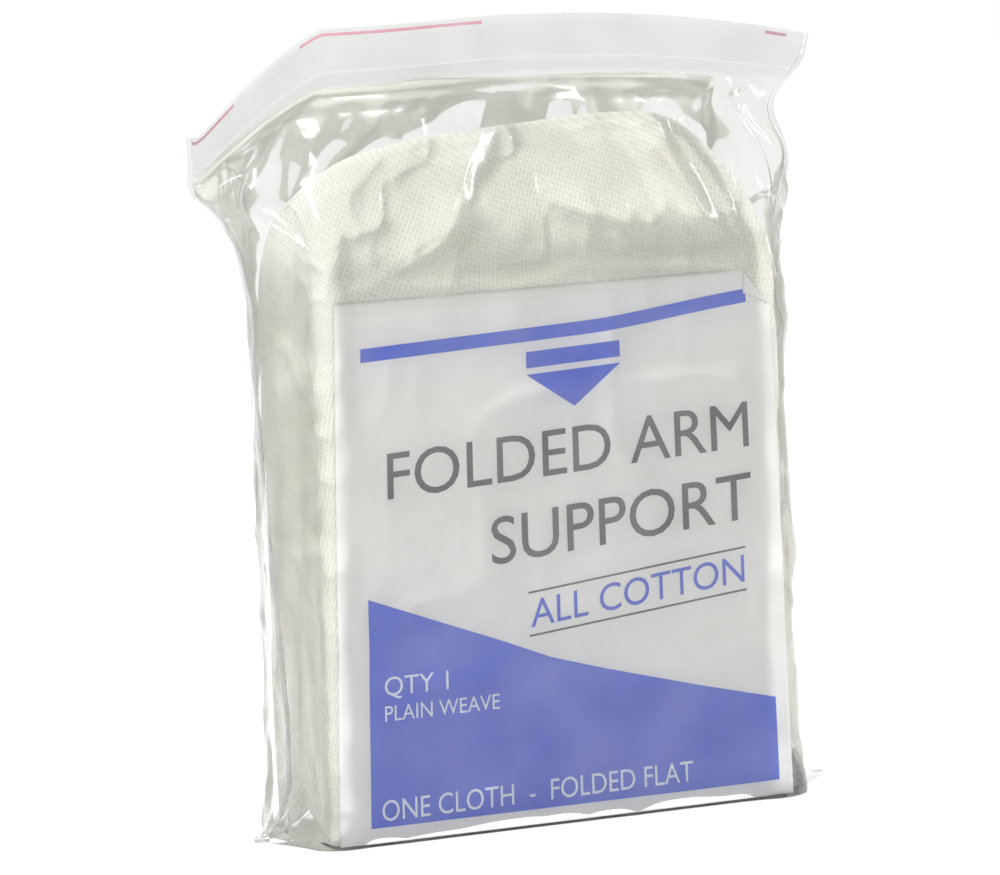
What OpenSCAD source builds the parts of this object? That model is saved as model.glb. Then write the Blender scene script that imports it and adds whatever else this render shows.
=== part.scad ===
// Triangular cloth arm sling, folded to a block and packed upright with its insert card
// in a clear press-seal bag. Millimetres, +Z up, front towards -Y, origin under the middle.

/* [Bag] */
// Width of the filled bag
body_w = 108; // [104:1:112]
// Depth of the filled bag
body_d = 40; // [38:1:42]
// Height at which the mouth folds back
fold_z = 118; // [116:1:120]
// Height to the top of the lips
bag_h = 178; // [177:1:182]
// Thickness that stands in for the film
film_t = 0.4; // [0.3:0.05:0.5]
// Width of the side welds
weld_w = 1; // [0.8:0.1:1.5]
// Reach of the left corner ear past the wall
ear_left = 12; // [4:1:19]
// Reach of the right corner ear past the wall
ear_right = 20; // [4:1:20]

/* [Zip] */
// Height of the press-seal profile
zip_h = 2.8; // [2.6:0.1:3.2]
// Height of its lower edge
zip_z = 165.6; // [165.2:0.1:166]
// Free play of the rib in the groove, on each face
zip_play = 0.3; // [0.2:0.05:0.35]
// Height of the coloured line on the back lip
line_h = 1.2; // [0.8:0.1:2]

/* [Contents] */
// Height of the folded cloth
cloth_h = 155.4; // [150:0.1:155.4]
// Width of the folded cloth
cloth_w = 105; // [98:1:105]
// Number of leaves that show at its sides
leaves = 7; // [5:1:9]
// Width of the insert card
card_w = 102; // [96:1:102]
// Height of the insert card
card_h = 121; // [110:1:121]
// Thickness of the insert card
card_t = 0.4; // [0.3:0.05:0.4]
// Size of its folded-over corner
card_corner = 4; // [2:1:8]

/* [Hidden] */
$fn = 48;

half_w = body_w / 2;
half_d = body_d / 2;
corner = 2.5;              // chamfer of the bag's upright corners
weld_t = 0.5;              // two films melted together
film_gap = 0.3;            // from the middle plane to a film at its weld
zip_gap = 0.9;             // from the middle plane to a film at the zip
hinge_gap = 0.1;           // slit between a wall and the neck above it
contents_gap = 0.2;        // air between the contents and the film
mouth_w = 2 * (half_w + half_d) - 1.2;  // inside the welds, at the zip
lip_z = zip_z + zip_h + 0.3;
shoulder_z = 131;          // the neck starts to lean in here
crown_r = 4.5;             // top fold of the cloth

// Each row of the neck: height, half depth, gap to the middle plane at the weld
NECK = [[fold_z + hinge_gap, half_d, film_gap],
        [shoulder_z, half_d, film_gap],
        [146, 13.9, 0.5],
        [157, 6.5, 0.7],
        [zip_z - 0.6, zip_gap + film_t, zip_gap],
        [lip_z - hinge_gap, zip_gap + film_t, zip_gap]];
WALL = [[film_t, half_d, film_gap], [fold_z, half_d, film_gap]];

// The side film keeps its length, so it reaches further out as the bag gets flatter
function seam_x(row) = half_w + sqrt(max(0, half_d * half_d - row[1] * row[1]));
function flatness(row) = 1 - row[1] / half_d;
function chamfer(row) = max(0, min(corner, (row[1] - row[2] - film_t) / 2));

// Right half of one row of a film, from the middle outwards: outer and inner face
function outer_half(row) = let (c = chamfer(row), f = flatness(row))
    [[half_w - max(c, 0.5), -row[1], row[0]],
     [half_w, c - row[1], row[0]],
     [seam_x(row), -row[2] - film_t * f, row[0]]];
function inner_half(row) = let (c = chamfer(row), f = flatness(row), m = 0.414 * film_t * (1 - f))
    [[half_w - max(c, 0.5) - m, film_t - row[1], row[0]],
     [half_w - film_t * (1 - f), c - row[1] + m + film_t * f, row[0]],
     [seam_x(row) - film_t * (1 - f), -row[2], row[0]]];
function flip_x(p) = [-p[0], p[1], p[2]];
function whole(half) = concat([for (i = [2 : -1 : 0]) flip_x(half[i])], half);

// A film with its outline given row by row; seen from the front it opens to the back
module film(rows) {
    n = 6;
    outer = [for (row = rows) each whole(outer_half(row))];
    inner = [for (row = rows) each whole(inner_half(row))];
    base = len(outer);
    top = (len(rows) - 1) * n;
    function quad(a, b, c, d) = [[a, b, c], [a, c, d]];
    polyhedron(concat(outer, inner), concat(
        [for (i = [0 : len(rows) - 2], j = [0 : n - 2]) let (a = i * n + j)
            each quad(a, a + n, a + n + 1, a + 1)],
        [for (i = [0 : len(rows) - 2], j = [0 : n - 2]) let (a = base + i * n + j)
            each [[a, a + n + 1, a + n], [a, a + 1, a + n + 1]]],
        [for (j = [0 : n - 2]) each quad(j, j + 1, base + j + 1, base + j)],
        [for (j = [0 : n - 2]) let (a = top + j)
            each quad(a, base + a, base + a + 1, a + 1)],
        [for (i = [0 : len(rows) - 2]) let (a = i * n)
            each quad(a, base + a, base + a + n, a + n)],
        [for (i = [0 : len(rows) - 2]) let (a = i * n + n - 1)
            each quad(a, a + n, base + a + n, base + a)]));
}

// An outline in X and Z, made into a sheet of the given thickness about a plane of constant Y
module upright(y, t) {
    translate([0, y + t / 2, 0]) rotate([90, 0, 0]) linear_extrude(t) children();
}

// Footprint of the filled bag, less an inset
module footprint(inset) {
    w = half_w - inset;
    d = half_d - inset;
    polygon([[-w, corner - d], [corner - w, -d], [w - corner, -d], [w, corner - d],
             [w, d - corner], [w - corner, d], [corner - w, d], [-w, d - corner]]);
}

module base_film() {
    color("gainsboro") linear_extrude(film_t) {
        footprint(0);
        polygon([[half_w, corner - half_d], [half_w + ear_right, 0], [half_w, half_d - corner]]);
        polygon([[-half_w, half_d - corner], [-half_w - ear_left, 0], [-half_w, corner - half_d]]);
    }
}

module front_film() {
    color("gainsboro", 0.5) film(WALL);
}

module back_film() {
    color("gainsboro", 0.5) mirror([0, 1, 0]) film(WALL);
}

// Right-hand weld; it leans out with the films it joins
module weld() {
    rows = concat(WALL, NECK, [[bag_h, zip_gap + film_t, zip_gap]]);
    upright(0, weld_t) polygon(concat(
        [for (row = rows) [seam_x(row) + weld_w, row[0]]],
        [for (i = [len(rows) - 1 : -1 : 0]) [seam_x(rows[i]) - film_t, rows[i][0]]]));
}

module left_weld() {
    color("silver") mirror([1, 0, 0]) weld();
}

module right_weld() {
    color("silver") weld();
}

module neck_front() {
    color("whitesmoke", 0.5) film(NECK);
}

module neck_back() {
    color("whitesmoke", 0.5) mirror([0, 1, 0]) film(NECK);
}

// A strip that runs across the mouth
module strip(y0, y1, z0, z1) {
    translate([-mouth_w / 2, y0, z0]) cube([mouth_w, y1 - y0, z1 - z0]);
}

base_t = 0.25;             // web of each zip profile
rib_t = zip_h / 5;         // thickness of the rib
rib_mid = zip_z + zip_h / 2;

module zip_groove() {
    jaw = rib_t / 2 + zip_play;
    color("lightgray") {
        strip(-zip_gap, base_t - zip_gap, zip_z, zip_z + zip_h);
        strip(-zip_gap, zip_gap - 2 * base_t, zip_z, rib_mid - jaw);
        strip(-zip_gap, zip_gap - 2 * base_t, rib_mid + jaw, zip_z + zip_h);
    }
}

module zip_rib() {
    color("lightgray") {
        strip(zip_gap - base_t, zip_gap, zip_z, zip_z + zip_h);
        strip(base_t + zip_play - zip_gap, zip_gap, rib_mid - rib_t / 2, rib_mid + rib_t / 2);
    }
}

module front_lip() {
    color("gainsboro", 0.6) strip(-zip_gap - film_t, -zip_gap, lip_z, bag_h);
}

module back_lip() {
    color("gainsboro", 0.6) strip(zip_gap, zip_gap + film_t, lip_z, bag_h);
}

module mark_line() {
    top = bag_h - 1;
    color("hotpink") strip(zip_gap - 0.2, zip_gap, top - line_h, top);
}

card_y = film_t + contents_gap + card_t / 2 - half_d;

module insert_card() {
    w = card_w / 2;
    foot = 2 * film_t;
    head = foot + card_h;
    color("ghostwhite") upright(card_y, card_t)
        polygon([[-w, foot], [w, foot], [w, head - card_corner], [w - card_corner, head], [-w, head]]);
}

cloth_d = body_d - 2 * (film_t + contents_gap) - card_t - contents_gap;
cloth_y = half_d - film_t - contents_gap - cloth_d / 2;
leaf_t = cloth_d / leaves;

// Plan of the folded cloth: leaves with rounded fold edges at both sides
module leaf_plan() {
    reach = (cloth_w - leaf_t) / 2;
    translate([-reach, cloth_y - cloth_d / 2]) square([2 * reach, cloth_d]);
    for (i = [0 : leaves - 1], x = [-reach, reach])
        translate([x, cloth_y + (i - (leaves - 1) / 2) * leaf_t]) circle(d = leaf_t);
}

// Side view of the folded cloth: upright to the shoulder, then in to a narrow top fold
module fold_profile() {
    foot = 2 * film_t;
    shoulder = shoulder_z - 4.5;
    hull() {
        translate([cloth_y - cloth_d / 2, foot]) square([cloth_d, shoulder - foot]);
        translate([0, foot + cloth_h - crown_r]) circle(crown_r);
    }
}

module sling_cloth() {
    color("linen") intersection() {
        linear_extrude(bag_h) leaf_plan();
        rotate([90, 0, 90]) translate([0, 0, -half_w]) linear_extrude(body_w) fold_profile();
    }
}

base_film();
front_film();
back_film();
left_weld();
right_weld();
neck_front();
neck_back();
zip_groove();
zip_rib();
front_lip();
back_lip();
mark_line();
insert_card();
sling_cloth();
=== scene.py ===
"""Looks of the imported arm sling: clear press-seal bag, insert card and folded cotton cloth."""

import math

import bmesh
import bpy
import numpy as np
from mathutils import Matrix, Vector


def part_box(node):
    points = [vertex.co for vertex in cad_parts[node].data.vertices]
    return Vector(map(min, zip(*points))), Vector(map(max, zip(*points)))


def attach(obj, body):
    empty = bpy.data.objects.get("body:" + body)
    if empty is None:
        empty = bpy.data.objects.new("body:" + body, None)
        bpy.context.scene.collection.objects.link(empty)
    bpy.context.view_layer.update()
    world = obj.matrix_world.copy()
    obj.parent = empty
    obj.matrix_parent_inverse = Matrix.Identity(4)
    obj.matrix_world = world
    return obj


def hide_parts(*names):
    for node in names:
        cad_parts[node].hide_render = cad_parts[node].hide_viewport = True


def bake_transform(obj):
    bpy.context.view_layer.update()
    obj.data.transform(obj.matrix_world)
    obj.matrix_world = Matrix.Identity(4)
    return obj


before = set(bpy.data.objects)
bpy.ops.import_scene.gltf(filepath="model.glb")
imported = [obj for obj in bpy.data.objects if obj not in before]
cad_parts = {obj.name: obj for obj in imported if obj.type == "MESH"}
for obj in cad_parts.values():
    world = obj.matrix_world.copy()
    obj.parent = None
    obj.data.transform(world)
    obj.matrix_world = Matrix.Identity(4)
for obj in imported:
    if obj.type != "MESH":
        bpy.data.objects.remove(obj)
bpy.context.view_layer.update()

MM = 0.001

# ---------------------------------------------------------------- sizes from the frame, in mm

wall_low, wall_high = (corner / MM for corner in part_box("front_film"))
lip_low, lip_high = (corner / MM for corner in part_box("back_lip"))
weld_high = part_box("right_weld")[1] / MM
zip_low, zip_high = (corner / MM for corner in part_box("zip_groove"))
base_low, base_high = (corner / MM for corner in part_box("base_film"))
card_low, card_high = (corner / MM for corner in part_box("insert_card"))
cloth_low, cloth_high = (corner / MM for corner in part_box("sling_cloth"))
line_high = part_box("mark_line")[1] / MM

HALF_FLAT = weld_high.x          # half of the bag's flat width, welds included
HALF_DEPTH = -wall_low.y         # half depth of the filled bag
FOLD_Z = wall_high.z             # the mouth folds back here
LIP_Z = lip_low.z                # the lips start here
TOP_Z = lip_high.z
LIP_GAP = lip_low.y              # from the middle plane to a lip
MID_X = 48.0                     # the mouth's middle pieces lie inside this
PULL_X = 30.0                    # the lip's middle stretch lies inside this
FRONT, BACK = -1, 1

# How the soft bag differs from the plain solids
FACE_FOOT = wall_high.x + 0.7    # half width of the front face at its foot
FACE_TAPER = 1.6                 # how much narrower it is above
FULLER_RIGHT = 3.7               # the pack reaches this much further on its right
SAG_Z = 128.0                    # the neck gives way above this height
DROOP_LEFT = 21.5                # how far the mouth's left corner hangs down
DROOP_RIGHT = 8.5
PINCH = 9.5                      # how far the right of the neck is drawn in
PINCH_Z = 159.0
FLOOR_GAP = 0.25                 # the lowest film keeps this far off the floor


# ---------------------------------------------------------------- small tools

def smooth(t):
    """Smoothstep of a number or array, clamped to 0..1."""
    t = np.clip(t, 0.0, 1.0)
    return t * t * (3.0 - 2.0 * t)


def value_noise(u, v, seed):
    """Smooth noise from 0 to 1 with one feature per unit, the same on every run."""
    cells = 64
    grid = np.random.default_rng(seed).random((cells, cells))
    iu, iv = np.floor(u).astype(int), np.floor(v).astype(int)
    fu, fv = u - iu, v - iv
    fu, fv = fu * fu * (3 - 2 * fu), fv * fv * (3 - 2 * fv)
    a, b = grid[iu % cells, iv % cells], grid[(iu + 1) % cells, iv % cells]
    c, d = grid[iu % cells, (iv + 1) % cells], grid[(iu + 1) % cells, (iv + 1) % cells]
    return (a * (1 - fu) + b * fu) * (1 - fv) + (c * (1 - fu) + d * fu) * fv


def ridges(u, v, seed, sharp=2.0):
    """Narrow crests from 0 to 1, like creases in film."""
    return (1.0 - np.abs(2.0 * value_noise(u, v, seed) - 1.0)) ** sharp


def grid_object(name, points, material, body=None):
    """A mesh from an array of points, rows by columns by xyz, in mm."""
    rows, cols = points.shape[:2]
    index = np.arange(rows * cols).reshape(rows, cols)
    quads = np.stack([index[:-1, :-1], index[:-1, 1:], index[1:, 1:], index[1:, :-1]], -1)
    mesh = bpy.data.meshes.new(name)
    mesh.from_pydata((points.reshape(-1, 3) * MM).tolist(), [], quads.reshape(-1, 4).tolist())
    mesh.polygons.foreach_set("use_smooth", [True] * len(mesh.polygons))
    mesh.materials.append(material)
    piece = bpy.data.objects.new(name, mesh)
    bpy.context.scene.collection.objects.link(piece)
    if body:
        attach(piece, body)
    return piece


# ---------------------------------------------------------------- materials

def new_material(name):
    material = bpy.data.materials.new(name)
    material.use_nodes = True
    tree = material.node_tree
    shader = tree.nodes["Principled BSDF"]
    return material, tree, shader


def node(tree, kind, **values):
    """Adds a shader node and sets its properties, or its inputs where the name is an input."""
    made = tree.nodes.new(kind)
    for key, value in values.items():
        if key in made.inputs:
            made.inputs[key].default_value = value
        else:
            setattr(made, key, value)
    return made


def math_node(tree, operation, a, b=None, c=None):
    made = node(tree, "ShaderNodeMath", operation=operation)
    for socket, value in zip(made.inputs, (a, b, c)):
        if value is None:
            continue
        if isinstance(value, (int, float)):
            socket.default_value = value
        else:
            tree.links.new(value, socket)
    return made.outputs[0]


def object_noise(tree, scale, detail=3.0, stretch=(1, 1, 1)):
    """Noise in object space; returns its value socket."""
    coords = node(tree, "ShaderNodeTexCoord")
    mapping = node(tree, "ShaderNodeMapping", Scale=stretch)
    tree.links.new(coords.outputs["Object"], mapping.inputs["Vector"])
    tex = node(tree, "ShaderNodeTexNoise", Scale=scale, Detail=detail)
    tree.links.new(mapping.outputs["Vector"], tex.inputs["Vector"])
    return tex.outputs["Fac"]


def bump(tree, height, shader, distance, strength=1.0):
    made = node(tree, "ShaderNodeBump", Distance=distance, Strength=strength)
    tree.links.new(height, made.inputs["Height"])
    tree.links.new(made.outputs["Normal"], shader.inputs["Normal"])
    return made


def mix_colours(tree, fac, low, high):
    ramp = node(tree, "ShaderNodeMix", data_type="RGBA")
    tree.links.new(fac, ramp.inputs[0])
    ramp.inputs[6].default_value = (*low, 1)
    ramp.inputs[7].default_value = (*high, 1)
    return ramp.outputs[2]


def film_material(name, haze, tint, roughness, fine=0.00002, ior=1.42):
    """Clear polythene: see-through, glossy by Fresnel, with a little milky haze."""
    material, tree, milk = new_material(name)
    milk.inputs["Base Color"].default_value = (0.70, 0.71, 0.71, 1)
    milk.inputs["Roughness"].default_value = 0.35
    clear = node(tree, "ShaderNodeBsdfTransparent", Color=(*tint, 1))
    gloss = node(tree, "ShaderNodeBsdfAnisotropic", Color=(1, 1, 1, 1), Roughness=roughness)
    edge = node(tree, "ShaderNodeFresnel", IOR=ior)
    skin = node(tree, "ShaderNodeMixShader")
    body = node(tree, "ShaderNodeMixShader")
    cloud = object_noise(tree, 60, 2.0)
    amount = math_node(tree, "MULTIPLY", cloud, haze * 2)
    ripple = object_noise(tree, 420, 2.0, (1, 1, 0.35))
    dent = node(tree, "ShaderNodeBump", Distance=fine, Strength=1.0)
    tree.links.new(ripple, dent.inputs["Height"])
    for shader in (gloss, edge):
        tree.links.new(dent.outputs["Normal"], shader.inputs["Normal"])
    tree.links.new(edge.outputs[0], skin.inputs[0])
    tree.links.new(clear.outputs[0], skin.inputs[1])
    tree.links.new(gloss.outputs[0], skin.inputs[2])
    tree.links.new(amount, body.inputs[0])
    tree.links.new(skin.outputs[0], body.inputs[1])
    tree.links.new(milk.outputs[0], body.inputs[2])
    tree.links.new(body.outputs[0], tree.nodes["Material Output"].inputs["Surface"])
    return material


def line_material():
    """The coloured line in the back lip; its colour varies a little along it."""
    material, tree, shader = new_material("coloured_line")
    shader.inputs["Roughness"].default_value = 0.25
    uneven = object_noise(tree, 45, 2.0)
    colour = mix_colours(tree, uneven, (0.80, 0.05, 0.16), (0.90, 0.22, 0.36))
    tree.links.new(colour, shader.inputs["Base Color"])
    return material


def paper_material():
    """Coated white card with faint fibres and cockling."""
    material, tree, shader = new_material("card_paper")
    mottle = object_noise(tree, 90, 4.0)
    tree.links.new(mix_colours(tree, mottle, (0.72, 0.715, 0.70), (0.82, 0.815, 0.80)),
                   shader.inputs["Base Color"])
    shader.inputs["Roughness"].default_value = 0.55
    bump(tree, object_noise(tree, 2600, 3.0), shader, 0.00001, 0.5)
    return material


def ink_material(name, low, high, roughness=0.45):
    """Printing ink with the slight unevenness of a flexo print."""
    material, tree, shader = new_material(name)
    tree.links.new(mix_colours(tree, object_noise(tree, 140, 4.0), low, high),
                   shader.inputs["Base Color"])
    shader.inputs["Roughness"].default_value = roughness
    bump(tree, object_noise(tree, 2600, 3.0), shader, 0.00001, 0.4)
    return material


def cotton_material(pitch=0.00095):
    """Open plain weave: two sets of threads that cross, bent by the folds, with slubs."""
    material, tree, shader = new_material("cotton_gauze")
    coords = node(tree, "ShaderNodeTexCoord").outputs["Object"]
    warp = node(tree, "ShaderNodeTexNoise", Scale=14.0, Detail=1.0)
    tree.links.new(coords, warp.inputs["Vector"])
    bent = node(tree, "ShaderNodeVectorMath", operation="MULTIPLY_ADD")
    tree.links.new(warp.outputs["Color"], bent.inputs[0])
    bent.inputs[1].default_value = (0.030, 0.010, 0.018)
    tree.links.new(coords, bent.inputs[2])

    def threads(direction):
        along = node(tree, "ShaderNodeVectorMath", operation="DOT_PRODUCT")
        tree.links.new(bent.outputs[0], along.inputs[0])
        along.inputs[1].default_value = direction
        wave = math_node(tree, "SINE", math_node(tree, "MULTIPLY", along.outputs["Value"],
                                                 2 * math.pi / pitch))
        return math_node(tree, "MULTIPLY_ADD", wave, 0.5, 0.5)

    first = threads((0.34, -0.30, 0.94))
    second = threads((0.94, -0.55, -0.34))
    weave = math_node(tree, "MAXIMUM", math_node(tree, "MULTIPLY", first, 0.85), second)
    slub = object_noise(tree, 500, 3.0, (1, 1, 0.25))
    height = math_node(tree, "ADD", weave, math_node(tree, "MULTIPLY", slub, 0.6))
    patch = object_noise(tree, 26, 3.0)
    ground = mix_colours(tree, patch, (0.66, 0.635, 0.545), (0.79, 0.785, 0.75))
    # Painted shade between the threads: where the weave is low, the ground colour is darkened and
    # yellowed.
    shaded = node(tree, "ShaderNodeMix", data_type="RGBA", blend_type="MULTIPLY")
    shaded.inputs[0].default_value = 1.0
    tree.links.new(ground, shaded.inputs[6])
    tree.links.new(mix_colours(tree, height, (0.80, 0.775, 0.70), (1.0, 1.0, 1.0)), shaded.inputs[7])
    tree.links.new(shaded.outputs[2], shader.inputs["Base Color"])
    shader.inputs["Roughness"].default_value = 0.9
    shader.inputs["Sheen Weight"].default_value = 0.25
    shader.inputs["Sheen Roughness"].default_value = 0.5
    bump(tree, height, shader, 0.00022, 0.7)
    return material


# Haze, tint per layer and roughness of each stretch of film; then ripple height and IOR
FILM = film_material("clear_film", 0.06, (0.875, 0.88, 0.872), 0.14)
NECK = film_material("neck_film", 0.06, (0.885, 0.89, 0.882), 0.16, 0.00004, 1.48)
BAND = film_material("mouth_film", 0.14, (0.815, 0.818, 0.81), 0.20)
WELD = film_material("welded_film", 0.12, (0.84, 0.85, 0.85), 0.20, 0.00006)
ZIP = film_material("zip_profile", 0.03, (0.965, 0.968, 0.965), 0.2)
LINE = line_material()
PAPER = paper_material()
BLUE = ink_material("blue_ink", (0.010, 0.058, 0.55), (0.024, 0.088, 0.64))
GREY = ink_material("grey_ink", (0.045, 0.047, 0.055), (0.075, 0.078, 0.088))
WHITE = ink_material("white_ink", (0.72, 0.74, 0.80), (0.82, 0.84, 0.88))
COTTON = cotton_material()


# ---------------------------------------------------------------- the shape of the bag

def half_depth(z):
    """Half depth of the filled bag at height z: tucked at the base, leaning in at the neck."""
    heights = [0, 2, 6, 14, 60, FOLD_Z, 131, 139, 146, 157, zip_low.z - 1, LIP_Z, TOP_Z]
    depths = [18.2, 19.2, 19.9, 20.3, 20.5, 20.2, 19.2, 17.2, 13.9, 7.4, 1.8, 1.2, 1.0]
    z = np.asarray(z, float)
    return sum(np.interp(z + step, heights, depths) for step in (-2, -1, 0, 1, 2)) / 5


def face_half(z):
    """Half width of the front face: the pack is a little wider at its foot."""
    return FACE_FOOT - FACE_TAPER * smooth(np.asarray(z, float) / 125)


def lopsided(x, z):
    """How much further out the right of the pack is than its left, up to the neck."""
    return FULLER_RIGHT * smooth((x - 5) / 50) * (1 - smooth((z - 112) / 45))


def section(along, z):
    """Where the film is, |x| and depth, at a distance along from the middle of its face."""
    face, depth = face_half(z), half_depth(z)
    side = HALF_FLAT - face
    depth = np.minimum(depth, side * 0.995)
    reach = np.sqrt(side * side - depth * depth)
    part = np.clip((along - face) / side, 0, 1)
    return np.where(along < face, along, face + part * reach), depth * (1 - part)


def mouth_sag(x, z):
    """How far the mouth droops: its left corner most, its right end a little."""
    lift = smooth((z - SAG_Z) / (TOP_Z - SAG_Z))
    left = DROOP_LEFT * np.clip((-43 - x) / 30, 0, 1) ** 1.2
    right = DROOP_RIGHT * (np.maximum(x, 0) / HALF_FLAT) ** 2
    return lift * (left + right)


def mouth_sway(x, z):
    """How far the mouth stands out of its own plane, to and fro along its width."""
    lift = smooth((z - 140) / (TOP_Z - 140))
    corner = smooth((-40 - x) / 32) * -2.0
    wave = 2.2 * np.sin(x / 17.0 + 0.6) + 1.2 * np.sin(x / 8.5 + 2.0)
    return lift * (corner + wave * smooth((HALF_FLAT + 4 - np.abs(x)) / 20))


def pinched(x, z):
    """How far the right end of the neck is drawn in, below the zip."""
    return PINCH * smooth((x - 50) / 16) * np.exp(-((z - PINCH_Z) / 11) ** 2)


def creases(a, z, side):
    """How far the film stands proud: crisp folds in the neck, soft ones on the walls."""
    seed = 11 if side == FRONT else 37
    wall = 0.32 * ridges(a / 30, z / 22, seed, 3) + 0.14 * ridges(a / 9, z / 13, seed + 1, 2)
    edge = smooth((np.abs(a) - 46) / 8) * smooth((150 - z) / 30)
    coarse, fine = ridges(a / 14, z / 19, seed + 2, 2), ridges(a / 5, z / 8, seed + 3, 2)
    folds = edge * (1.1 * coarse + 0.5 * fine)
    ends = 0.25 + 0.75 * smooth((np.abs(a) - 40) / 12)
    foot = smooth((16 - z) / 14) * ends * 1.2 * ridges(a / 13, z / 7, seed + 4, 2)
    neck = smooth((z - 124) / 14) * smooth((zip_low.z - 1 - z) / 7)
    away = np.hypot(np.abs(a) - 46, z - 122)
    angle = np.arctan2(z - 122, np.abs(a) - 46)
    fan = ridges(angle * 3.1 + 7 * (a > 0), away / 55, seed + 5, 3)
    drape = ridges(a / 17 + z / 60, z / 34, seed + 6, 2.5)
    small = ridges(a / 7, z / 12, seed + 7, 2)
    pressed = 0.7 * np.exp(-((z - zip_low.z + 3.4) / 0.8) ** 2) * smooth((50 - np.abs(a)) / 8)
    loose = 2.3 * fan * smooth((away - 4) / 14) + 1.9 * drape + 0.7 * small
    return wall + folds + foot + pressed + neck * loose


def film_points(a_values, z_values, side):
    """Points of one side of the bag on a grid of flat widths and heights, corners rounded."""
    a, z = np.meshgrid(a_values, z_values)
    total_x, total_d = np.zeros_like(a), np.zeros_like(a)
    steps = np.linspace(-3.2, 3.2, 7)
    for step in steps:
        shifted = np.abs(a) + step
        x, d = section(np.abs(shifted), z)
        total_x += np.where(shifted < 0, -x, x)
        total_d += d
    x = total_x / len(steps)
    depth = total_d / len(steps)
    end = smooth((np.abs(a) - HALF_FLAT + 6) / 6)
    tip_x = section(np.full_like(a, HALF_FLAT), z)[0]
    x, depth = x * (1 - end) + tip_x * end, depth * (1 - end)
    proud = creases(a, z, side) * (1 - smooth((np.abs(a) - HALF_FLAT + 5) / 5))
    band = smooth((z - zip_low.z + 2) / 2)
    proud = proud * (1 - band)
    rim = 0.05 * np.sin((z - zip_low.z) * 2.1) * band
    turn = smooth((np.abs(a) - MID_X - 1) / 8)
    flat = smooth((z - SAG_Z) / 30)
    out_x = turn * (1 - flat)
    x = x + proud * out_x * 0.9
    depth = depth + (proud + rim) * (1 - 0.6 * out_x)
    depth = depth + LIP_GAP * smooth((z - 150) / 14) * 0.2
    x = np.where(a < 0, -x, x)
    x = x + lopsided(x, z) - pinched(x, z)
    y = side * depth + mouth_sway(x, z)
    height = np.where(z < 2, np.maximum(z, FLOOR_GAP), z - mouth_sag(x, z))
    return np.stack([x, y, height], -1)


def film_piece(name, a_range, z_range, side, material, pitch=1.0):
    cols = max(3, int(round((a_range[1] - a_range[0]) / pitch)) + 1)
    rows = max(3, int(round((z_range[1] - z_range[0]) / pitch)) + 1)
    points = film_points(np.linspace(*a_range, cols), np.linspace(*z_range, rows), side)
    if side == BACK:
        points = points[:, ::-1]
    return grid_object(name, points, material)


def along_fold(piece):
    """Bakes the placement of a corner piece into its mesh."""
    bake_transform(piece)


def across_fold(piece):
    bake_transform(piece)


def lip_bend(piece):
    """Bakes the placement of a stretch of lip into its mesh."""
    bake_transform(piece)


def build_side(word, side):
    """One side of the bag: wall, neck, two mouth corners and its lip in three stretches."""
    wall = film_piece(word + "_wall", (-HALF_FLAT, HALF_FLAT), (0, FOLD_Z), side, FILM)
    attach(wall, "bag")
    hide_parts(word + "_film")
    neck = film_piece(word + "_neck", (-MID_X, MID_X), (FOLD_Z, LIP_Z), side, NECK, 0.8)
    across_fold(neck)
    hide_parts("neck_" + word)
    for sign, hand in ((-1, "left"), (1, "right")):
        spans = sorted((sign * MID_X, sign * HALF_FLAT))
        corner = film_piece(f"{word}_{hand}_corner", spans, (FOLD_Z, LIP_Z), side, NECK, 0.8)
        along_fold(corner)
        lip_end = film_piece(f"{word}_{hand}_lip_end", spans, (LIP_Z, TOP_Z), side, BAND, 0.8)
        along_fold(lip_end)
        spans = sorted((sign * PULL_X, sign * MID_X))
        lip_side = film_piece(f"{word}_{hand}_lip", spans, (LIP_Z, TOP_Z), side, BAND, 0.8)
        lip_bend(lip_side)
    lip = film_piece(word + "_lip_middle", (-PULL_X, PULL_X), (LIP_Z, TOP_Z), side, BAND, 0.8)
    lip_bend(lip)
    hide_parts(word + "_lip")


def strip_points(a_range, low, high, side, offset, ribs=0):
    """A strip that follows one side of the mouth, offset towards the middle plane."""
    cols = max(3, int(abs(a_range[1] - a_range[0]) / 1.2) + 1)
    points = film_points(np.linspace(*a_range, cols), np.linspace(low, high, 9), side)
    points[..., 1] -= side * offset
    if ribs:
        points[..., 1] += side * 0.10 * np.cos(np.linspace(0, ribs * 2 * math.pi, 9))[:, None]
    return points


def build_zip(word, side, cad_node):
    mouth = word + "_mouth"
    reach = HALF_FLAT - 1.5
    middle = strip_points((-MID_X, MID_X), zip_low.z, zip_high.z, side, 0.35, ribs=2)
    piece = grid_object(cad_node + "_profile", middle, ZIP, mouth)
    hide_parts(cad_node)
    for sign, hand in ((-1, "left"), (1, "right")):
        spans = sorted((sign * MID_X, sign * reach))
        end = grid_object(f"{cad_node}_{hand}_end",
                          strip_points(spans, zip_low.z, zip_high.z, side, 0.35, ribs=2),
                          ZIP)
        along_fold(end)


def build_line():
    """The coloured line just under the back lip's edge; it shows in four stretches."""
    low, high = line_high.z - 0.7, line_high.z
    stretches = (("line_middle", -PULL_X, -3.0), ("line_left", -MID_X, -PULL_X),
                 ("line_left_end", 1.5 - HALF_FLAT, -64.0), ("line_right_end", 65.0, 70.0))
    for name, start, end in stretches:
        points = strip_points((start, end), low, high, BACK, -0.12)
        piece = grid_object(name, points, LINE)
        if name == "line_middle":
            lip_bend(piece)
            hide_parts("mark_line")
        elif name == "line_left":
            lip_bend(piece)
        else:
            along_fold(piece)


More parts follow.
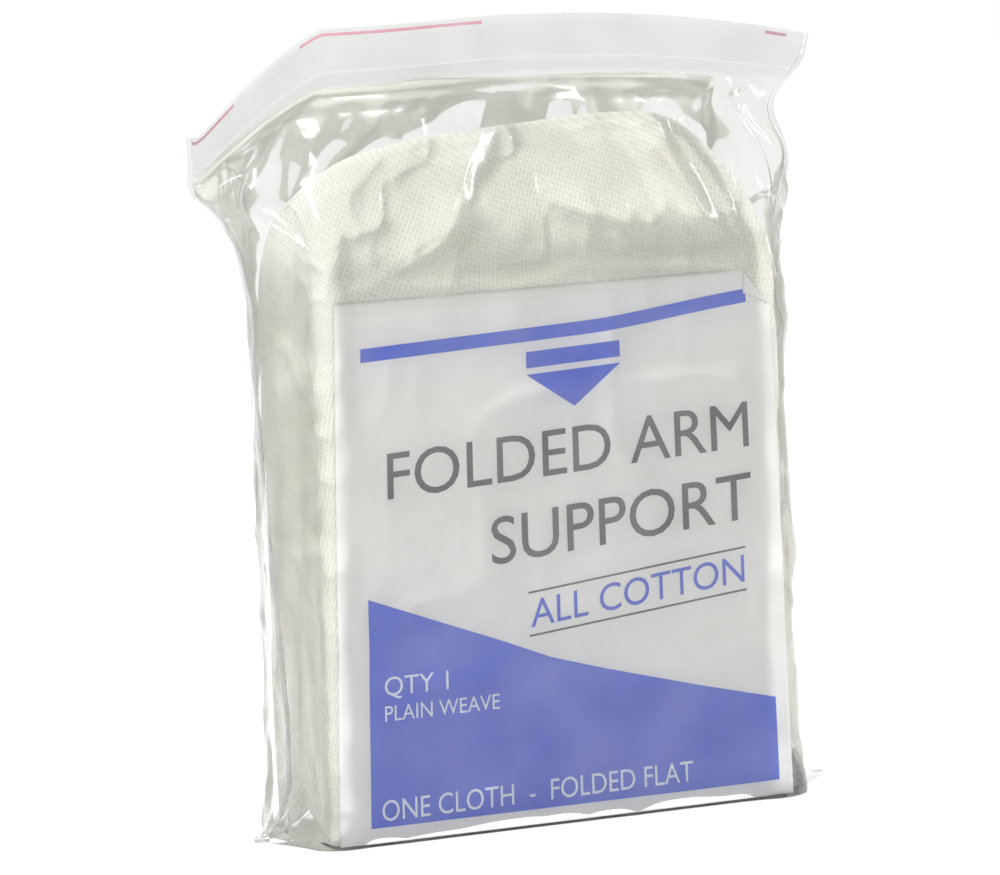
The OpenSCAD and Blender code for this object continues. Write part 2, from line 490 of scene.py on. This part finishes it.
def build_weld(hand, sign):
    """The heat-sealed edge: a narrow rippled fin where the two films end."""
    heights = np.linspace(0, TOP_Z, 240)
    edge = film_points(np.array([sign * HALF_FLAT]), heights, FRONT)[:, 0]
    width = 1.1 + 0.35 * value_noise(heights / 6, heights * 0, 91)
    rows = []
    for part, thick in ((0.0, 0.16), (0.5, 0.30), (1.0, 0.05)):
        point = edge.copy()
        point[:, 0] += sign * width * part
        point[:, 1] += 0.35 * np.sin(heights / 2.3) * part
        rows.append((point, thick))
    ring = [point + np.array([0, -thick, 0]) for point, thick in rows]
    ring += [point + np.array([0, thick, 0]) for point, thick in rows[::-1]]
    ring.append(ring[0])
    piece = grid_object(hand + "_weld_fin", np.stack(ring, 1), WELD, "bag")
    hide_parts(hand + "_weld")


def build_base():
    """The bottom fold, pressed flat under the pack, and its two crumpled corner ears."""
    across = np.linspace(-HALF_FLAT, HALF_FLAT, 121)
    front = film_points(across, np.array([0.0, 1.0]), FRONT)[0]
    back = film_points(across, np.array([0.0, 1.0]), BACK)[0]
    parts = np.linspace(0, 1, 31)[:, None, None]
    sheet = front[None] * (1 - parts) + back[None] * parts
    sheet[..., 2] = 0.25 + 0.25 * ridges(sheet[..., 0] / 15, sheet[..., 1] / 9, 71)
    base = grid_object("base_sheet", sheet[:, ::-1], FILM, "bag")
    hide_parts("base_film")
    for hand, sign, tip in (("left", -1, base_low.x), ("right", 1, base_high.x)):
        out, over = np.meshgrid(np.linspace(0, 1, 41), np.linspace(-1, 1, 41))
        root = HALF_DEPTH * 0.72
        start = face_half(0.0) - 0.5 + (lopsided(54.0, 0.0) if sign > 0 else 0)
        x = sign * (start + (abs(tip) - start) * out)
        y = over * root * (1 - out) ** 0.8
        crumple = ridges(out * 3 + 2, over * 2.5 + 3, 83 + sign, 2) * (1 - out * 0.5)
        z = 0.3 + (5.5 * (1 - out) ** 2 * (1 - over ** 2)) + 1.6 * crumple
        ear = grid_object(hand + "_ear", np.stack([x, y, z], -1), FILM, "bag")
        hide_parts("base_film")


# ---------------------------------------------------------------- the card and its print

CARD_LEFT, CARD_RIGHT = card_low.x - 1.8, card_high.x + 3.4
CARD_FOOT, CARD_HEAD = card_low.z, card_high.z - 2.0
CARD_Y = card_low.y


def card_y(x, z):
    """The card's front face: nearly flat, cockled at the right, lifted low on the left."""
    right = smooth((x - 15) / 35)
    waves = 0.30 * np.sin(x / 9 + z / 30) * right + 0.22 * np.sin(z / 11 + x / 40) * right
    bulge = 0.5 * np.exp(-((x + 50) / 7) ** 2 - ((z - 44) / 6) ** 2)
    curl = 0.5 * smooth((np.abs(x) - 44) / 10)
    return CARD_Y + 0.1 - waves * 0.7 - bulge + curl


def card_x(x, z):
    """Where a place across the card ends up: the card is drawn narrower at its head."""
    up = (z - CARD_FOOT) / (CARD_HEAD - CARD_FOOT)
    left, right = CARD_LEFT - 0.6 + 3.2 * up, CARD_RIGHT + 2.6 - 2.4 * up
    return left + (x - CARD_LEFT) / (CARD_RIGHT - CARD_LEFT) * (right - left)


def build_card():
    """A thin card with its top right corner turned over."""
    cols, rows = 130, 140
    across, up = np.linspace(CARD_LEFT, CARD_RIGHT, cols), np.linspace(CARD_FOOT, CARD_HEAD, rows)
    x, z = np.meshgrid(across, up)
    x = card_x(x, z)
    y = card_y(x, z)
    # Everything beyond a slanting line near the corner is folded back over it
    over = ((x - CARD_RIGHT + 3) + (z - CARD_HEAD + 4) * 0.8) / math.hypot(1, 0.8)
    fold = np.maximum(over, 0)
    x = x - fold * 1.7 / math.hypot(1, 0.8)
    z = z - fold * 1.7 * 0.8 / math.hypot(1, 0.8)
    y = y - np.minimum(fold, 1.0) * 0.35
    front = np.stack([x, y, z], -1)
    card = grid_object("printed_card", front, PAPER, "contents")
    solid = card.modifiers.new("thickness", "SOLIDIFY")
    solid.thickness = 0.25 * MM
    solid.offset = -1
    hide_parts("insert_card")


def on_card(x, below):
    """From distances right of and below the card's top left corner to x and z."""
    z = CARD_HEAD - below
    return card_x(CARD_LEFT + x, z), z


def lay_on_card(piece, lift=0.07):
    """Sets every vertex of a flat print onto the card's face."""
    for vertex in piece.data.vertices:
        x, z = vertex.co.x / MM, vertex.co.z / MM
        vertex.co.y = float(card_y(x, z) - lift) * MM
    piece.data.update()


def print_patch(name, material, x_range, top, bottom, cols=90, rows=24):
    """A printed area between two curves, given as functions of the distance from the left."""
    across = np.linspace(*x_range, cols)
    parts = np.linspace(0, 1, rows)[:, None]
    below = bottom(across)[None] * (1 - parts) + top(across)[None] * parts
    x, z = on_card(np.broadcast_to(across, below.shape), below)
    points = np.stack([x, np.zeros_like(x), z], -1)
    piece = grid_object(name, points, material)
    lay_on_card(piece)
    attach(piece, "contents")


def cut_up(mesh, across, up):
    """Cuts flat lettering into small parts so that it can follow the card."""
    work = bmesh.new()
    work.from_mesh(mesh)
    xs, ys = [vert.co.x for vert in work.verts], [vert.co.y for vert in work.verts]
    for values, count, normal in ((xs, across, Vector((1, 0, 0))), (ys, up, Vector((0, 1, 0)))):
        for place in np.linspace(min(values), max(values), int(count) + 2)[1:-1]:
            everything = work.verts[:] + work.edges[:] + work.faces[:]
            bmesh.ops.bisect_plane(work, geom=everything, plane_co=normal * place, plane_no=normal)
    work.to_mesh(mesh)
    work.free()


def print_words(name, words, material, left, right, below, height, tilt=0.0, slant=0.0, lift=0.09):
    """One line of lettering: capitals of the given height, stretched to the given width."""
    curve = bpy.data.curves.new(name + "_curve", "FONT")
    curve.body = words
    curve.shear = slant
    curve.resolution_u = 4
    text = bpy.data.objects.new(name + "_text", curve)
    bpy.context.scene.collection.objects.link(text)
    bpy.context.view_layer.update()
    mesh = bpy.data.meshes.new_from_object(text.evaluated_get(bpy.context.evaluated_depsgraph_get()))
    bpy.data.objects.remove(text)
    cut_up(mesh, (right - left) / 1.5, height / 1.5)
    co = np.array([vertex.co for vertex in mesh.vertices])
    low, high = co.min(0), co.max(0)
    u = (co[:, 0] - low[0]) / (high[0] - low[0]) * (right - left)
    v = (co[:, 1] - low[1]) / (high[1] - low[1]) * height
    rise = math.tan(math.radians(tilt))
    x, z = on_card(left + u, below - v - u * rise)
    for vertex, px, pz in zip(mesh.vertices, x, z):
        vertex.co = (px * MM, 0, pz * MM)
    mesh.materials.clear()
    mesh.materials.append(material)
    piece = bpy.data.objects.new(name, mesh)
    bpy.context.scene.collection.objects.link(piece)
    lay_on_card(piece, lift)
    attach(piece, "contents")


def build_print():
    """Stripe, pictogram, title, two rules and a blue panel with a slanting top."""
    rise = math.tan(math.radians(2.0))
    print_patch("top_stripe", BLUE, (6, 101),
                lambda x: 10.3 - x * rise - 2.5 * smooth((x - 60) / 45),
                lambda x: 13.3 - x * rise - 2.5 * smooth((x - 60) / 45), rows=5)
    panel_x = [7, 39, 50, 63, 86, 105]
    panel_below = [65, 77.4, 82, 85.9, 92.2, 97]
    print_patch("blue_panel", BLUE, (7, 104),
                lambda x: np.interp(x, panel_x, panel_below),
                lambda x: 115.6 + 0 * x)
    # The pictogram is a bar over a triangle that points down
    print_patch("sling_sign_upper", BLUE, (46, 69),
                lambda x: 14.0 + 0 * x - (x - 46) * rise,
                lambda x: 17.6 + 0 * x - (x - 46) * rise, rows=4)
    print_patch("sling_sign_lower", BLUE, (46, 69),
                lambda x: 19.0 + 0 * x - (x - 46) * rise,
                lambda x: 19.0 + (1 - np.abs(x - 57.5) / 11.5) * 8.2 + 0.02 - (x - 46) * rise, rows=8)
    print_words("title_upper", "FOLDED ARM", GREY, 12, 100, 43.6, 10.3, 2.6)
    print_words("title_lower", "SUPPORT", GREY, 36.5, 100, 60.4, 10.6, 4.2)
    for name, below in (("rule_upper", 67.0), ("rule_lower", 76.6)):
        tilt = math.tan(math.radians(5.6))
        print_patch(name, GREY, (45, 98),
                    lambda x, b=below: b - (x - 45) * tilt,
                    lambda x, b=below: b + 0.45 - (x - 45) * tilt, rows=2)
    print_words("cotton_words", "ALL COTTON", BLUE, 45.5, 97.5, 75.0, 6.2, 5.6)
    print_words("count_words", "QTY 1", WHITE, 10.5, 25.5, 87.4, 5.0, lift=0.14)
    print_words("weave_words", "PLAIN WEAVE", WHITE, 10.5, 37.5, 92.2, 3.4, lift=0.14)
    print_words("size_words", "ONE CLOTH  -  FOLDED FLAT", WHITE, 9.5, 83, 114.3, 4.7, 0.6, lift=0.14)


# ---------------------------------------------------------------- the folded cloth

LAYERS = 35                      # an odd number, so the last one ends at the right
INNER_DEPTH = 0.93               # the hidden layers keep inside the outer turn
CLOTH_FOOT = cloth_low.z
CLOTH_HALF = (cloth_high.x - cloth_low.x) / 2
CLOTH_FRONT = -(card_high.y + 0.2)
SHOULDER = 118.0


def cloth_top(x):
    """Height of the folded cloth: highest right of the middle, round at its ends."""
    places = [-54, -50, -42, -24, 0, 24, 38, 46, 51, 54]
    heights = [139, 144, 149, 152.5, 154, 155.2, 154.6, 151.5, 146, 140]
    return sum(np.interp(x + step, places, heights) for step in (-3, 0, 3)) / 3


def cloth_depth(x, z, top):
    """Half depth of the cloth: full behind the card, arching over to its top."""
    part = np.clip((z - SHOULDER) / (top - SHOULDER), 0, 1)
    round_off = (1 - part ** 2) ** 0.62
    ends = 1 - 0.05 * smooth((np.abs(x) - 46) / 9)
    return CLOTH_FRONT * round_off * ends


def inner_path():
    """The hidden layers, seen from above: laid to and fro from front to back."""
    path = []
    edge = CLOTH_HALF - 0.6
    pitch = 2 * INNER_DEPTH / (LAYERS - 1)
    for layer in range(LAYERS):
        way = 1 if layer % 2 == 0 else -1
        place = layer * pitch - INNER_DEPTH
        path += [(way * part * edge, place) for part in np.linspace(-1, 1, 14)]
        if layer < LAYERS - 1:
            path.append((way * (edge + 0.3), place + pitch / 2))
    return path


def outer_path():
    """The last turn of the cloth, once round the pack: back, left side, front, right side."""
    edge, round_x, round_y = CLOTH_HALF + 1.7, 3.0, 0.16
    path = []
    corners = ((1, 1, 0), (-1, 1, 90), (-1, -1, 180), (1, -1, 270))
    for sign_x, sign_y, start in corners:
        for turn in np.linspace(start, start + 90, 9):
            path.append((sign_x * (edge - round_x) + round_x * math.cos(math.radians(turn)),
                         sign_y * (1 - round_y) + round_y * math.sin(math.radians(turn))))
    path.append((edge, 0.8))
    steps = []
    for start, end in zip(path[:-1], path[1:]):
        length = math.hypot(end[0] - start[0], (end[1] - start[1]) * CLOTH_FRONT)
        count = max(1, int(abs(length) / 1.1))
        steps += [(start[0] + (end[0] - start[0]) * k / count,
                   start[1] + (end[1] - start[1]) * k / count) for k in range(count)]
    return steps + [path[-1]]


def build_cloth():
    """One cloth laid to and fro, wrapped once round itself and drawn together at the top."""
    path = np.array(inner_path() + outer_path())
    rows = 110
    level = np.linspace(0, 1, rows) ** 0.9
    x = np.broadcast_to(path[:, 0], (rows, len(path))).copy()
    place = np.broadcast_to(path[:, 1], x.shape)
    wrapped = np.zeros_like(x)
    wrapped[:, len(inner_path()):] = 1.0
    top = cloth_top(x) - 4.0 * (1 - wrapped)
    z = CLOTH_FOOT + level[:, None] * (top - CLOTH_FOOT)
    at_side = smooth((np.abs(x) - CLOTH_HALF + 2) / 3) * wrapped
    sides = (0.9 * ridges(place * 1.6 + z / 70 + 3, z / 24, 31, 2)
             + 0.5 * (value_noise(place * 4, z / 9, 33) - 0.5))
    x = x - np.sign(x) * at_side * sides
    x = x * (1 - 0.05 * smooth((z - 120) / 34))
    y = place * cloth_depth(x, z, top)
    front = smooth((-place - 0.9) / 0.1) * wrapped
    upper = smooth((z - 116) / 12)
    soft = (1.5 * (value_noise(x / 19 + 9, z / 26 + 3, 21) - 0.5)
            + 0.9 * ridges(x / 24 + z / 40 + 4, z / 30, 23, 2) * smooth((x + 50) / 20))
    crease = -1.5 * np.exp(-((x + 46 - (z - 118) * 0.12) / 2.2) ** 2)
    y = y - front * upper * (soft + crease) * (1 - level[:, None] ** 8)
    back = smooth((place - 0.9) / 0.1) * wrapped
    hump = 1.2 * (value_noise(x / 21, z / 28, 29) - 0.5) + 0.2
    y = y + back * hump * (1 - level[:, None] ** 8)
    x = x + lopsided(x, z)
    cloth = grid_object("folded_sling", np.stack([x, y, z], -1), COTTON, "contents")
    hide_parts("sling_cloth")


# ---------------------------------------------------------------- stage, light and camera

def area_light(name, place, target, size, power):
    data = bpy.data.lights.new(name, "AREA")
    data.shape = "RECTANGLE"
    data.size, data.size_y = size
    data.energy = power
    light = bpy.data.objects.new(name, data)
    light.location = place
    light.rotation_euler = (Vector(target) - Vector(place)).to_track_quat("-Z", "Y").to_euler()
    bpy.context.scene.collection.objects.link(light)


def build_stage():
    bpy.ops.mesh.primitive_plane_add(size=12, location=(0, 0, 0))
    floor = bpy.context.object
    floor.name = "floor"
    material, tree, shader = new_material("pale_floor")
    tree.links.new(mix_colours(tree, object_noise(tree, 2.0), (0.86, 0.86, 0.86), (0.89, 0.89, 0.89)),
                   shader.inputs["Base Color"])
    shader.inputs["Roughness"].default_value = 0.9
    floor.data.materials.append(material)
    world = bpy.data.worlds.new("studio")
    world.use_nodes = True
    world.node_tree.nodes["Background"].inputs["Color"].default_value = (1, 1, 1, 1)
    world.node_tree.nodes["Background"].inputs["Strength"].default_value = 1.12
    bpy.context.scene.world = world
    aim = (0, 0, 0.09)
    area_light("key", (-0.55, -0.80, 0.75), aim, (0.16, 0.30), 8)
    area_light("side", (-0.95, 0.10, 0.35), aim, (0.12, 0.6), 0.8)
    area_light("right", (0.85, -0.45, 0.40), aim, (0.10, 0.6), 4)
    area_light("top", (0.05, 0.10, 1.0), aim, (0.5, 0.12), 5)


def build_camera(azimuth=-24.0, elevation=8.0, roll=-2.0, distance=1.5, lens=243.5):
    """The camera stands off to the left, a little above, and is rolled slightly."""
    az, el, ro = (math.radians(angle) for angle in (azimuth, elevation, roll))
    back = Vector((math.sin(az) * math.cos(el), -math.cos(az) * math.cos(el), math.sin(el)))
    right = Vector((math.cos(az), math.sin(az), 0))
    up = back.cross(right)
    turned = right * math.cos(ro) + up * math.sin(ro)
    upright = up * math.cos(ro) - right * math.sin(ro)
    target = Vector((-0.0036, 0, 0.0846))
    data = bpy.data.cameras.new("camera")
    data.lens = lens
    data.sensor_width = 36
    camera = bpy.data.objects.new("camera", data)
    matrix = Matrix((turned, upright, back)).transposed().to_4x4()
    matrix.translation = target + back * distance
    camera.matrix_world = matrix
    bpy.context.scene.collection.objects.link(camera)
    bpy.context.scene.camera = camera


build_camera()
build_stage()
build_side("front", FRONT)
build_side("back", BACK)
build_zip("front", FRONT, "zip_groove")
build_zip("back", BACK, "zip_rib")
build_line()
build_weld("left", -1)
build_weld("right", 1)
build_base()
build_card()
build_print()
build_cloth()
bpy.context.scene.view_settings.view_transform = "Standard"
